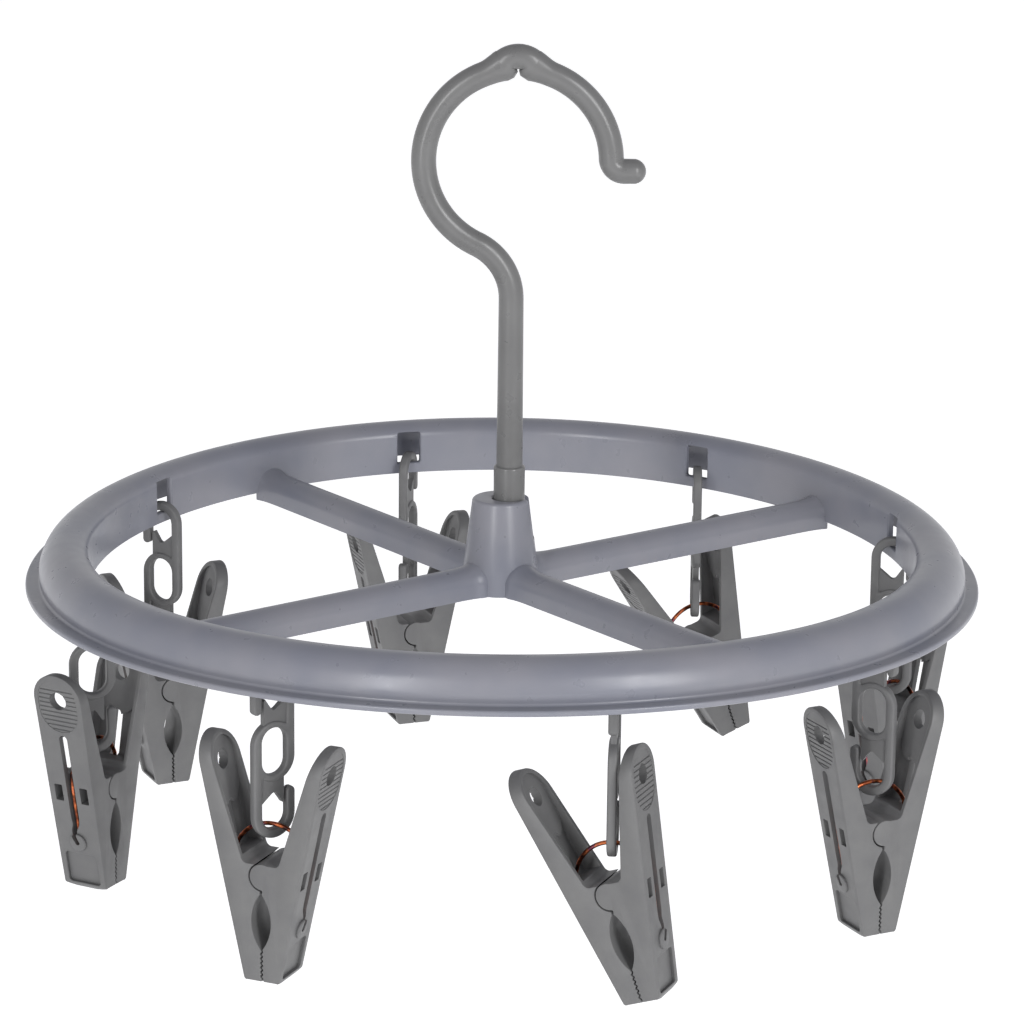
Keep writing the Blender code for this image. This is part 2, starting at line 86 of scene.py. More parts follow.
# %% [markdown]
# ## Outlines
#
# Most mouldings start as a flat outline. A circle's arc is centre + radius * (cos t, sin t), and a
# rounded corner is an arc that touches both of its edges. Both are worked out for a whole row of
# angles at once, so an outline is always an array of (across, up) pairs.

# %% Arcs and rounded corners
def arc(centre, radius, start, end, count):
    """Points centre + radius * (cos t, sin t) for t from start to end degrees; radius may be a pair."""
    turn = np.radians(np.linspace(start, end, count))
    across, up = np.broadcast_to(radius, 2)
    return np.stack([centre[0] + across * np.cos(turn), centre[1] + up * np.sin(turn)], axis=-1)


def rounded(corner, before, after, radius, count=7):
    """Arc in a corner: its centre is on the bisector, radius / sin(half angle) away from the corner."""
    corner = np.array(corner)
    back, ahead = [(np.array(p) - corner) / np.linalg.norm(np.array(p) - corner) for p in (before, after)]
    half = np.arccos(np.dot(back, ahead)) / 2
    centre = corner + (back + ahead) / np.linalg.norm(back + ahead) * radius / np.sin(half)
    first, last = [corner + way * radius / np.tan(half) - centre for way in (back, ahead)]
    share = np.linspace(0, 1, count)[:, None]
    turn = np.pi - 2 * half
    return centre + (np.sin((1 - share) * turn) * first + np.sin(share * turn) * last) / np.sin(turn)


print("one rounded corner has", len(rounded((0, 0), (0, 1), (1, 0), 0.2)), "points")

# %% [markdown]
# ## From rows of points to a surface
#
# A grid of points becomes a mesh when each point is joined to its neighbours in the next column
# and the next row. The columns always run round a closed section. The rows either stop at two
# caps, as on a rod, or come round to the first row again, as on a ring. Points that fall on the
# same place, such as those at the tip of a rounded end, are merged, so the skin is closed.

# %% Surface from a grid
def skin(name, rows, ring=False):
    """Closed surface through a grid of points (row, place in section, xyz), turned to face outward."""
    count, around = rows.shape[:2]
    index = np.arange(count * around).reshape(count, around)
    here = index if ring else index[:-1]
    there = np.roll(index, -1, axis=0) if ring else index[1:]
    quads = np.stack([here, np.roll(here, -1, axis=1), np.roll(there, -1, axis=1), there], axis=-1)
    faces = quads.reshape(-1, 4).tolist()
    if not ring:
        faces += [index[0].tolist(), index[-1].tolist()]
    mesh = bpy.data.meshes.new(name)
    mesh.from_pydata(rows.reshape(-1, 3).tolist(), [], faces)
    shape = bmesh.new()
    shape.from_mesh(mesh)
    bmesh.ops.remove_doubles(shape, verts=shape.verts, dist=0.002 * MM)
    bmesh.ops.recalc_face_normals(shape, faces=shape.faces)
    shape.to_mesh(mesh)
    shape.free()
    piece = bpy.data.objects.new(name, mesh)
    bpy.context.scene.collection.objects.link(piece)
    return piece


def extruded(name, outline, low, high, plane):
    """Outline carried in a straight line, from low to high along the axis its plane leaves out."""
    order = {"XZ": (0, 2, 1), "YZ": (1, 2, 0), "XY": (0, 1, 2)}[plane]
    rows = np.zeros((2, len(outline), 3))
    rows[..., order[0]] = outline[:, 0]
    rows[..., order[1]] = outline[:, 1]
    rows[..., order[2]] = np.array([low, high])[:, None]
    return skin(name, rows)


def turned(name, profile, sides, centre):
    """Closed profile turned about an upright axis: (radius cos t, radius sin t, height)."""
    turn = np.linspace(0, 2 * np.pi, sides, endpoint=False)[:, None]
    radius, height = profile[None, :, 0], profile[None, :, 1]
    rows = np.stack([centre[0] + radius * np.cos(turn), centre[1] + radius * np.sin(turn),
                     np.broadcast_to(height, (sides, profile.shape[0]))], axis=-1)
    return skin(name, rows, ring=True)


def rod(name, path, radius, sides=32, squeeze=None):
    """Section of `sides` places carried along a path in the XZ plane.

    Place t of a section is path + radius * (normal cos t + Y sin t). `squeeze` is the half thickness
    along the normal where it differs from the radius.
    """
    way = np.gradient(path, axis=0)
    way /= np.linalg.norm(way, axis=1, keepdims=True)
    normal = np.stack([-way[:, 1], way[:, 0]], axis=-1)
    turn = np.linspace(0, 2 * np.pi, sides, endpoint=False)
    across = (radius if squeeze is None else squeeze)[:, None] * np.cos(turn)
    rows = np.stack([path[:, 0:1] + normal[:, 0:1] * across, radius[:, None] * np.sin(turn)[None, :],
                     path[:, 1:2] + normal[:, 1:2] * across], axis=-1)
    return skin(name, rows)


# %% [markdown]
# ## Cutting and joining
#
# A moulding has holes, slots and pockets. Those could be left out of the grid, point by point, but
# a mould maker thinks in cores: a block with the hole's shape is pushed in, and the plastic flows
# round it. A Boolean does the same. Cores that don't touch each other are gathered in one object
# first, so the slow step runs once.

# %% Cores
def together(name, pieces):
    """Several objects as one, in one mesh."""
    shape = bmesh.new()
    for piece in pieces:
        shape.from_mesh(piece.data)
    mesh = bpy.data.meshes.new(name)
    shape.to_mesh(mesh)
    shape.free()
    for piece in pieces:
        bpy.data.objects.remove(piece, do_unlink=True)
    result = bpy.data.objects.new(name, mesh)
    bpy.context.scene.collection.objects.link(result)
    return result


def settled(piece):
    """Replace a piece's mesh with what its modifiers make of it, as one clean skin."""
    bpy.context.view_layer.update()
    mesh = bpy.data.meshes.new_from_object(piece.evaluated_get(bpy.context.evaluated_depsgraph_get()))
    piece.modifiers.clear()
    shape = bmesh.new()
    shape.from_mesh(mesh)
    bmesh.ops.remove_doubles(shape, verts=shape.verts, dist=0.002 * MM)
    shape.to_mesh(mesh)
    shape.free()
    piece.data = mesh
    return piece


def moulded(body, core, operation="DIFFERENCE"):
    """Cut a core out of a body, or join it on, and keep the result."""
    step = body.modifiers.new(operation, "BOOLEAN")
    step.operation = operation
    step.solver = "EXACT"
    step.object = core
    settled(body)
    bpy.data.objects.remove(core, do_unlink=True)
    return body


def eased(body, width, segments=2, angle=38):
    """Break the sharp edges of a moulding, as a polished mould does."""
    step = body.modifiers.new("edges", "BEVEL")
    step.width = width
    step.segments = segments
    step.limit_method = "ANGLE"
    step.angle_limit = math.radians(angle)
    step.use_clamp_overlap = False
    step.miter_outer = "MITER_ARC"
    return settled(body)


def shaded(mesh, angle=30):
    """Smooth shading with crisp edges where two faces meet at more than the angle."""
    mesh.polygons.foreach_set("use_smooth", np.ones(len(mesh.polygons), bool))
    mesh.set_sharp_from_angle(angle=math.radians(angle))
    return mesh


# %% [markdown]
# ## The ring
#
# The ring is a channel turned about its centre: a domed top that falls away further outside than
# inside, a thin wall on each side, and a flat lip round the outside with a groove above it. One
# closed profile, turned in many small steps, gives the long smooth highlights that a polished
# mould leaves. A torus would be quicker, but its section is round and it has no hollow underside. The
# real ring also sags a little at its left and right. That is put in last, when all is cut.

# %% Sizes of the ring, in millimetres from its axis and up from the bottom of its inner wall
STEM_X = -1.25 * MM             # swivel axis, behind the notch of the hook
RING_CENTRE = (STEM_X - 1.6 * MM, 0.0)
WARP = 1.3 * MM                 # how far the rim sags and rises
LIP_R = 125.0 * MM
OUTER_R = 121.5 * MM
CREST_R = 114.0 * MM
INNER_R = 108.5 * MM
RING_TOP = 14.0 * MM
OUTER_SHOULDER = 5.5 * MM
INNER_SHOULDER = 10.5 * MM
LIP = (2.0 * MM, 3.6 * MM)
LIP_ROUND = 0.55 * MM
GROOVE_R = 0.7 * MM
FOOT_ROUND = 0.35 * MM
WALL = 1.6 * MM
RING_SIDES = 288


def ring_profile():
    """Section as (radius, height): lip, groove, outer dome, inner shoulder, then the hollow."""
    crest_out, crest_in = (CREST_R, OUTER_SHOULDER), (CREST_R, INNER_SHOULDER)
    edge = LIP_R - LIP_ROUND
    dome = (OUTER_R - CREST_R, RING_TOP - OUTER_SHOULDER)
    shoulder = (CREST_R - INNER_R, RING_TOP - INNER_SHOULDER)
    foot = FOOT_ROUND
    parts = [
        arc((edge, LIP[0] + LIP_ROUND), LIP_ROUND, -90, 0, 6),
        arc((edge, LIP[1] - LIP_ROUND), LIP_ROUND, 0, 90, 6),
        arc((OUTER_R + 0.6 * GROOVE_R, LIP[1] + GROOVE_R), GROOVE_R, 270, 160, 8),
        arc(crest_out, dome, 4, 90, 30),
        arc(crest_in, shoulder, 90, 180, 18)[1:],
        arc((INNER_R + foot, foot), foot, 180, 270, 4),
        arc((INNER_R + WALL - foot, foot), foot, 270, 360, 4),
        arc(crest_in, np.subtract(shoulder, WALL), 180, 90, 10),
        arc(crest_out, np.subtract(dome, WALL), 90, 0, 14)[1:],
        [(OUTER_R - WALL, LIP[0])],
    ]
    return np.concatenate(parts) + (0, RING_BASE)


def set_in_a_saddle(mesh):
    """A thin ring warps as it cools: z grows by WARP * (y squared - x squared) / LIP_R squared."""
    places = np.empty(3 * len(mesh.vertices))
    mesh.vertices.foreach_get("co", places)
    places = places.reshape(-1, 3)
    places[:, 2] += WARP * (places[:, 1] ** 2 - (places[:, 0] - RING_CENTRE[0]) ** 2) / LIP_R ** 2
    mesh.vertices.foreach_set("co", places.ravel())


ring = turned("ring", ring_profile(), RING_SIDES, RING_CENTRE)
print("ring section has", len(ring_profile()), "points, ring has", len(ring.data.polygons), "faces")

# %% [markdown]
# ## Spokes and hub
#
# Each spoke is an arch, hollow below, that widens a little where it runs into the hub and into the
# ring, because molten plastic needs a round way through. So the arch is carried from hub to ring
# and grown near both ends by an amount that dies away with distance. The hub is a turned tower
# with a soft rim. It is joined on, then bored off centre and slotted for the hook's snap-in end.
# Spokes and hub stand a little lower than the ring's inner wall.

# %% Sizes of the spokes and the hub
SPOKE_TURNS = 37 + 90 * np.arange(4)
SPOKE_HALF = 4.25 * MM
SPOKE_HEIGHT = 7.5 * MM
SPOKE_WALL = 1.7 * MM
SPOKE_DROP = 2.0 * MM
FLARE = 0.9 * MM
FLARE_REACH = 2.2 * MM
FLARED_LENGTH = 10 * MM         # the part at each end where the rows lie close
HUB_CENTRE = (RING_CENTRE[0] - 0.5 * MM, 0.0)
HUB_R = 9.7 * MM
HUB_TOP_R = 7.5 * MM
HUB_SHOULDER = 7.0 * MM
HUB_TOP = 24.7 * MM
HUB_ROUND = 1.0 * MM
ON_AXIS = 0.01 * MM             # a turned piece starts this close to its axis
BORE_R = 4.4 * MM
CHAMBER_R = 5.3 * MM            # room for the hook's head
LEDGE = (7.1 * MM, 11.6 * MM)
NECK_R = 2.4 * MM
SLOT_WIDTH = 4.4 * MM


def place_on_ring(piece, turn, drop=0.0):
    """Turn a piece that lies along +X about the ring's centre, at the ring's height or lower."""
    piece.data.transform(Matrix.Translation((*RING_CENTRE, RING_BASE - drop))
                         @ Matrix.Rotation(math.radians(turn), 4, "Z"))
    return piece


def arched_bar(name, start, end, shrink=0.0, flared=True):
    """Arch section carried along X; growth is FLARE * exp(-distance from hub or ring / FLARE_REACH)."""
    along = np.concatenate([np.linspace(start, start + FLARED_LENGTH, 16),
                            np.linspace(end - FLARED_LENGTH, end, 16)])
    growth = np.exp(-(along - HUB_R) / FLARE_REACH) + np.exp(-(INNER_R - along) / FLARE_REACH)
    growth = FLARE * np.minimum(growth, 1.0) * flared
    straight = SPOKE_HEIGHT - SPOKE_HALF
    half = SPOKE_HALF - shrink
    foot = -1.0 * MM if shrink else 0.0
    arch = np.concatenate([[(half, foot)], arc((0, straight), half, 0, 180, 25), [(-half, foot)]])
    out = np.concatenate([[(1, 0)], arc((0, 0), 1.0, 0, 180, 25), [(-1, 0)]])
    section = arch[None] + out[None] * growth[:, None, None]
    place = np.broadcast_to(along[:, None, None], (*section.shape[:2], 1))
    return skin(name, np.concatenate([place, section], axis=-1))


def hub_profile():
    """Solid tower as (radius, height), with a soft rim and a soft change of slope at the shoulder."""
    slope = (HUB_R - HUB_TOP_R) / (HUB_TOP - HUB_SHOULDER)
    rim = rounded((HUB_TOP_R, HUB_TOP), (HUB_TOP_R + slope * MM, HUB_TOP - MM), (0, HUB_TOP), HUB_ROUND, 8)
    shoulder = rounded((HUB_R, HUB_SHOULDER), (HUB_R, 0), (HUB_TOP_R, HUB_TOP), 12 * MM, 5)
    parts = [[(ON_AXIS, 0), (HUB_R, 0)], shoulder, rim, [(ON_AXIS, HUB_TOP)]]
    return np.concatenate(parts) + (0, RING_BASE - SPOKE_DROP)


hub = turned("hub", hub_profile(), 96, HUB_CENTRE)
spokes = together("spokes", [
    place_on_ring(arched_bar("spoke", 6 * MM, INNER_R + WALL / 2), turn, SPOKE_DROP)
    for turn in SPOKE_TURNS])
ring_frame = moulded(together("ring_and_hub", [ring, hub]), spokes, "UNION")
print("ring, spokes and hub joined:", len(ring_frame.data.polygons), "faces")

# %% [markdown]
# ## Windows, hollows and the bore
#
# Eight windows pierce the inner wall, one for each link, and the strip left below each is the bar
# that the link hangs on. A sharp window would look cut with a knife, so each core swells by a
# quarter turn of its rounding as it reaches the surface, which leaves a soft mouth.

# %% Cores with rounded mouths
def mouth(depth, rounding, above):
    """Levels and growths of a core: straight, then growing by rounding * (1 - cos t)."""
    turn = np.radians(np.linspace(0, 72, 6))
    levels = np.concatenate([[-depth], rounding * (np.sin(turn) - 1), [above]])
    growths = np.concatenate([[0], rounding * (1 - np.cos(turn)), [rounding * (1 - np.cos(turn[-1]))]])
    return levels, growths


def soft_box(half, radius, growths, steps=6):
    """Outlines of a rounded box at several growths: corner centres + (radius + growth) * (cos t, sin t)."""
    quarters = [np.linspace(start, start + 90, steps) for start in (0, 90, 180, 270)]
    turn = np.radians(np.concatenate(quarters))
    signs = np.repeat([(1, 1), (-1, 1), (-1, -1), (1, -1)], steps, axis=0)
    centres = signs * (np.array(half) - radius)
    return centres + np.stack([np.cos(turn), np.sin(turn)], axis=-1) * (radius + growths)[:, None, None]


WINDOW_WIDTH = 6.6 * MM
WINDOW = (3.0 * MM, 12.0 * MM)
FIRST_WINDOW = 14.5
WINDOW_TURNS = FIRST_WINDOW + 45 * np.arange(8)


def window_core():
    """Rounded box across the inner wall, with a mouth on the side that faces the hub."""
    levels, growths = mouth(2.6 * MM, 0.5 * MM, 1.0 * MM)
    half = (WINDOW_WIDTH / 2, (WINDOW[1] - WINDOW[0]) / 2)
    outline = soft_box(half, 0.5 * MM, growths)
    rows = np.stack([np.broadcast_to(INNER_R - levels[:, None], outline.shape[:2]), outline[..., 0],
                     outline[..., 1] + sum(WINDOW) / 2], axis=-1)
    return skin("window", rows)


rim = HUB_TOP - SPOKE_DROP
bore_profile = np.array([
    (ON_AXIS, -4 * MM), (CHAMBER_R, -4 * MM), (CHAMBER_R, LEDGE[0]), (NECK_R + GAP, LEDGE[0]),
    (NECK_R + GAP, LEDGE[1]), (BORE_R, LEDGE[1]), (BORE_R, rim - 0.4 * MM), (BORE_R + 0.4 * MM, rim),
    (BORE_R + 0.4 * MM, rim + 2 * MM), (ON_AXIS, rim + 2 * MM)])
cores = [place_on_ring(window_core(), turn) for turn in WINDOW_TURNS]
for turn in SPOKE_TURNS:
    hollow = arched_bar("hollow", HUB_R + 1.5 * MM, INNER_R - MM, SPOKE_WALL, False)
    cores.append(place_on_ring(hollow, turn, SPOKE_DROP))
cores.append(turned("bore", bore_profile + (0, RING_BASE), 64, (STEM_X, 0.0)))
moulded(ring_frame, together("cores", cores))
slot_centre = (0.0, (LEDGE[1] + HUB_TOP + 2 * MM) / 2)
slot_outline = soft_box((SLOT_WIDTH / 2, (HUB_TOP + 2 * MM - LEDGE[1]) / 2), 0.8 * MM, np.zeros(1))[0]
slot_outline = slot_outline + slot_centre + (0, RING_BASE)
moulded(ring_frame, extruded("slot", slot_outline, STEM_X + BORE_R - 2 * MM, STEM_X + HUB_R, "YZ"))
set_in_a_saddle(ring_frame.data)
print("ring frame:", len(ring_frame.data.polygons), "faces")

# %% [markdown]
# ## The hook
#
# The hook is one rod with an S bend, a loop, a raised notch at the top and a turned-out toe. A
# curve object with a round bevel would give the rod, but not the notch, where the underside is
# scooped out while the top humps up over it. So the rod's section is carried along the path with
# its own thickness at every place: half the distance from the inner edge to the outer one.

# %% Sizes of the hook
ROD_R = 3.25 * MM
STEM_R = 3.45 * MM
LOOP_R = 24.1 * MM
BEND_R = 16.0 * MM
LOOP_HEIGHT = 112.2 * MM + RING_BASE
NOTCH_RISE = 3.0 * MM
NOTCH_TURN = math.radians(22)
SCOOP_R = 3.0 * MM
TOE_START = math.radians(2.5)   # place round the loop where the toe turns out
TOE_BEND_R = 3.4 * MM
TOE_LENGTH = 4.0 * MM
TOE_END = 1.6 * MM
COLLAR_R = 4.1 * MM
COLLAR_TOP = 31.4 * MM + RING_BASE
HEAD_R = 4.4 * MM
HEAD = (3.6 * MM, 6.8 * MM)
STEM_ROWS, BEND_ROWS, LOOP_ROWS = 30, 24, 320


def loop_part(start, end, count):
    """Centre line and half thickness of the loop, from its outer and inner edges at each angle.

    The outer edge rises by NOTCH_RISE * cos squared over the hump. A circle scoops the inner edge.
    """
    turn = np.linspace(start, end, count)
    away = np.abs(turn - np.pi / 2)
    hump = NOTCH_RISE * np.cos(np.minimum(away / NOTCH_TURN, 1) * np.pi / 2) ** 2
    inner_r = LOOP_R - ROD_R
    scoop = np.sqrt(np.maximum(SCOOP_R ** 2 - (inner_r * away) ** 2, 0))
    outer, inner = LOOP_R + ROD_R + hump, inner_r + scoop
    middle = (outer + inner) / 2
    path = np.stack([middle * np.cos(turn), LOOP_HEIGHT + middle * np.sin(turn)], axis=-1)
    return path, (outer - inner) / 2


def hook_rod():
    """Stem, bend, loop and toe as one path; the stem thickens a little towards the collar."""
    spread = BEND_R + LOOP_R
    aside = BEND_R - STEM_X
    bend_height = LOOP_HEIGHT - math.sqrt(spread ** 2 - aside ** 2)
    meet = math.acos(aside / spread)
    heights = np.linspace(COLLAR_TOP - 2 * MM, bend_height, STEM_ROWS)
    stem = np.stack([np.full(STEM_ROWS, STEM_X), heights], axis=-1)
    bend = arc((-aside, bend_height), BEND_R, 0, math.degrees(meet), BEND_ROWS)[1:]
    loop, loop_half = loop_part(np.pi + meet, TOE_START, LOOP_ROWS)
    toe_height = LOOP_HEIGHT + LOOP_R * math.sin(TOE_START)
    toe_place = LOOP_R * math.cos(TOE_START) + TOE_BEND_R
    toe = arc((toe_place, toe_height), TOE_BEND_R, 180, 270, 19)[1:]
    end = toe_place + TOE_LENGTH
    dome = np.sin(np.linspace(0, np.pi / 2, 12)[1:])
    tip = np.stack([end - (ROD_R - TOE_END) + ROD_R * dome, np.full(11, toe_height - TOE_BEND_R)], axis=-1)
    path = np.concatenate([stem, bend, loop[1:], toe, tip])
    radius = np.full(len(path), ROD_R)
    radius[:STEM_ROWS] = np.interp(heights, [heights[0], heights[-1]], [STEM_R, ROD_R])
    radius[-11:] = ROD_R * np.sqrt(1 - dome ** 2)
    half = radius.copy()
    first = len(stem) + len(bend)
    half[first:first + LOOP_ROWS - 1] = loop_half[1:]
    return rod("hook_rod", path, radius, 48, half)


def hook_stem():
    """Collar, neck and head turned in one profile, with soft edges."""
    soft = 0.5 * MM
    low = RING_BASE + LEDGE[1] + GAP
    parts = [
        [(ON_AXIS, RING_BASE + HEAD[0])],
        arc((HEAD_R - soft, RING_BASE + HEAD[0] + soft), soft, -90, 0, 5),
        [(HEAD_R, RING_BASE + HEAD[1]), (NECK_R, RING_BASE + HEAD[1]), (NECK_R, low)],
        arc((COLLAR_R - soft, low + soft), soft, -90, 0, 5),
        arc((COLLAR_R - soft, COLLAR_TOP - soft), soft, 0, 90, 6),
        [(ON_AXIS, COLLAR_TOP)],
    ]
    return turned("hook_stem", np.concatenate(parts), 64, (STEM_X, 0.0))


swivel_hook = moulded(hook_rod(), hook_stem(), "UNION")
print("hook:", len(swivel_hook.data.polygons), "faces")

# %% [markdown]
# ## The links
#
# A link is a small flat moulding: an oval eye between two hooks, the lower one the upper one
# turned half round, with a thin barb beside each hook so that nothing slips off. A bent rod would
# be too round, because the real one has flat faces with well-rounded edges. So its outline is
# extruded, its edges are broken, and the barbs, which are thinner, are joined on afterwards.

# %% Sizes of a link, from the centre of its upper hook
LINK_ROD = 2.4 * MM
LINK_HALF = 6.0 * MM
LINK_INNER = LINK_HALF - LINK_ROD
EYE_TOP = -8.6 * MM
EYE_LENGTH = 15.4 * MM
EYE_HOLE = 12.0 * MM
TIP_DROP = 6.4 * MM
BARB_SIDE = 2.9 * MM
BARB_REACH = 5.9 * MM
BARB_NOTCH = 2.5 * MM
BARB_THICK = 1.5 * MM
LINK_FOOT = 2 * EYE_TOP - EYE_LENGTH     # height of the lower hook's centre


def turned_half_round(outline):
    """The same outline about the middle of the eye: (-x, foot - z)."""
    return np.array([0, LINK_FOOT]) - outline


def link_outline():
    """Upper hook's outer edge, the eye's lower end, then the lower hook's inner edge and tip."""
    low = EYE_TOP - EYE_LENGTH
    stop = 270 + math.degrees(math.asin(LINK_INNER / LINK_HALF))
    tip = (-LINK_HALF + LINK_ROD / 2, LINK_FOOT + TIP_DROP - LINK_ROD / 2)
    half = np.concatenate([
        arc((0, 0), LINK_HALF, 0, 180, 33), arc((0, low + LINK_HALF), LINK_HALF, 180, stop, 24),
        arc((0, LINK_FOOT), LINK_INNER, 0, -180, 25), arc(tip, LINK_ROD / 2, 0, 180, 11)])
    return np.concatenate([half, turned_half_round(half)])


def barb_outline():
    """Barb under the eye: a point beside the hook's tip, a notch, and a web to the stem."""
    low = EYE_TOP - EYE_LENGTH
    point = [(-BARB_SIDE, low - BARB_REACH + 0.6 * MM), (-BARB_SIDE + 0.4 * MM, low - BARB_REACH)]
    web_foot = (LINK_INNER, low - BARB_NOTCH - 2.6 * MM)
    notch = rounded((-0.2 * MM, low - BARB_NOTCH), point[1], web_foot, MM, 5)
    web = [(LINK_INNER + 0.6 * MM, low - BARB_NOTCH - 3.4 * MM), (LINK_INNER + 0.6 * MM, low + 1.6 * MM)]
    return np.concatenate([[(-BARB_SIDE, low + 1.6 * MM)], point, notch, web])


def build_link():
    """One link in its own axes: X across, Z up, its upper hook centred on the origin."""
    link = extruded("link", link_outline(), -LINK_ROD / 2, LINK_ROD / 2, "XZ")
    top = EYE_TOP - (EYE_LENGTH - EYE_HOLE) / 2 - LINK_INNER
    bottom = top - (EYE_HOLE - 2 * LINK_INNER)
    eye = np.concatenate([arc((0, top), LINK_INNER, 0, 180, 21),
                          arc((0, bottom), LINK_INNER, 180, 360, 21)])
    moulded(link, extruded("eye", eye, -LINK_ROD, LINK_ROD, "XZ"))
    eased(link, 0.55 * MM, 3)
    for outline in (barb_outline(), turned_half_round(barb_outline())):
        moulded(link, extruded("barb", outline, -BARB_THICK / 2, BARB_THICK / 2, "XZ"), "UNION")
    return shaded(link.data), link


link_mesh, link_pattern = build_link()
print("link:", len(link_mesh.polygons), "faces")

# %% [markdown]
# ## The clip's legs
#
# A leg is seen in two outlines at once. From the side it is a long wedge with half of the V, the
# knuckle, the round gap and the teeth. From the front it is a tapering tongue with a round top. A
# mould closes along both, so the leg is what the two extrusions have in common. The channel
# inside is cored out in the same way, and then the edges are broken while the shape is simple.

# %% Sizes of a clip: X from leg to leg, Y across its width, Z up from the tips of its jaws
CLIP = 1.07 * MM                # unit of the clip's own sizes
CLIP_LENGTH = 58.0 * CLIP
JAW_DEPTH = 4.3 * CLIP
JAW_CORNER = 2.0 * CLIP
FACE_SLOPE = math.tan(math.radians(12))
V_SLOPE = math.tan(math.radians(18))
V_BOTTOM = 29.4 * CLIP
V_HALF = 4.5 * CLIP
PIVOT = (0.4 * CLIP, 26.4 * CLIP)
KNUCKLE_R = 3.2 * CLIP
EYE_LENS = (8.7 * CLIP, 22.2 * CLIP, 2.45 * CLIP)
TOOTH_PITCH = 1.1 * CLIP
TOOTH_DEPTH = 0.6 * MM
TOOTH_COUNT = 7
JAW_HALF = 6.0 * CLIP
TOP_HALF = 6.7 * CLIP
JAW_BOW = 0.9 * CLIP
LEG_PLATE = 1.6 * CLIP
LEG_SIDE = 1.25 * CLIP


def face(height, depth=0.0):
    """Distance from the clip's centre line to its outer face, or to a plane below that face."""
    return JAW_DEPTH + FACE_SLOPE * height - depth


def meeting_edge(knuckled):
    """Edge where one leg meets the other: knuckle, round gap, then a zigzag of teeth down to the tip."""
    reach = KNUCKLE_R + (0 if knuckled else GAP)
    rise = math.degrees(math.asin((V_BOTTOM - PIVOT[1]) / reach))
    side = 1 if knuckled else -1
    clear = 0.2 * MM
    knuckle = arc(PIVOT, reach, rise, 270, 34) if knuckled else arc(PIVOT, reach, 180 - rise, 260, 18)
    half = (EYE_LENS[1] - EYE_LENS[0]) / 2
    bulge = EYE_LENS[2] - clear
    radius = (half ** 2 + bulge ** 2) / (2 * bulge)
    span = math.degrees(math.asin(half / radius))
    middle = (side * (EYE_LENS[2] - radius), EYE_LENS[0] + half)
    facing = (span, -span) if knuckled else (180 - span, 180 + span)
    lens = arc(middle, radius, *facing, 17)
    step = np.arange(1, 2 * TOOTH_COUNT)
    teeth = np.stack([TOOTH_DEPTH / 2 * (2 * (step % 2) - 1) + side * clear,
                      EYE_LENS[0] - step * TOOTH_PITCH / 2], axis=-1)
    return np.concatenate([knuckle, lens, teeth, [(side * clear, 0.0)]])


def leg_side_outline(knuckled):
    """Side view: rounded jaw corner, outer face, top, inner face of the V, then the meeting edge."""
    side = 1 if knuckled else -1
    inner_top = V_HALF + V_SLOPE * (CLIP_LENGTH - V_BOTTOM)
    slope = math.degrees(math.atan(FACE_SLOPE))
    centre = face(JAW_CORNER) - JAW_CORNER / math.cos(math.radians(slope))
    jaw = arc((centre, JAW_CORNER), JAW_CORNER, -90, -slope, 8)
    floor = rounded((V_HALF, V_BOTTOM), (inner_top, CLIP_LENGTH), (0, V_BOTTOM), 1.6 * MM, 8)
    outer = np.concatenate([jaw, [(face(CLIP_LENGTH), CLIP_LENGTH), (inner_top, CLIP_LENGTH)], floor])
    return np.concatenate([outer * (side, 1), meeting_edge(knuckled)])


def tongue(name, inset, side, bow=0.0):
    """Front view of a leg as a solid through it: bowed foot, tapering sides and a semicircular top."""
    top = TOP_HALF - inset
    foot = JAW_HALF - inset
    if bow:
        radius = (foot ** 2 + bow ** 2) / (2 * bow)
        half = math.degrees(math.asin(foot / radius))
        base = arc((0, radius), radius, -90 - half, -90 + half, 13)
    else:
        base = np.array([(-foot, -MM), (foot, -MM)])
    outline = np.concatenate([base, arc((0, CLIP_LENGTH - TOP_HALF), top, 0, 180, 41)])
    low, high = sorted((side * -4 * MM, side * 20 * MM))
    return extruded(name, outline, low, high, "YZ")


# %% [markdown]
# ## What the mould adds to a leg
#
# The outer face carries a finger hole, a grooved pad round it, a slot for the wire, two small
# windows, a raised ring where the wire hooks in, and a shallow pocket at the jaw. Each is a flat
# outline laid on the sloping face: place (across, height, level) goes to X = face(height) + level.
# Laying it on by formula keeps every core square to the face, whatever the slope.

# %% Sizes of the details on the outer face
FINGER_HOLE = (51.2 * CLIP, 2.3 * CLIP)
PAD = (48.4 * CLIP, 5.5 * CLIP)
GROOVE_PITCH = 1.15 * CLIP
GROOVE_COUNT = 10
GROOVE_HALF = 0.42 * MM
FIRST_GROOVE = 43.6 * CLIP
GROOVE_DEPTH = 0.4 * CLIP
WIRE_SLOT = (13.0 * CLIP, 42.0 * CLIP, 1.15 * CLIP)
SLOT_DEPTH = 2.6 * CLIP
SIDE_WINDOW = (26.1 * CLIP, 3.6 * CLIP)
JAW_POCKET = (5.7 * CLIP, 4.5 * CLIP, 0.9 * CLIP)
BOSS = (13.0 * CLIP, 2.3 * CLIP, 0.7 * CLIP)
TOP_CENTRE = CLIP_LENGTH - TOP_HALF


def laid_on(name, outlines, levels, side):
    """Core from outlines in (across, height), one for each level above the outer face."""
    level = np.broadcast_to(np.array(levels)[:, None], outlines.shape[:2])
    height = outlines[..., 1]
    rows = np.stack([side * (face(height) + level), outlines[..., 0], height], axis=-1)
    return skin(name, rows)


def soft_core(name, centre, half, radius, depth, rounding, side):
    """Rounded box let into the outer face, with a soft mouth."""
    levels, growths = mouth(depth, rounding, 0.6 * MM)
    return laid_on(name, soft_box(half, radius, growths) + centre, levels, side)


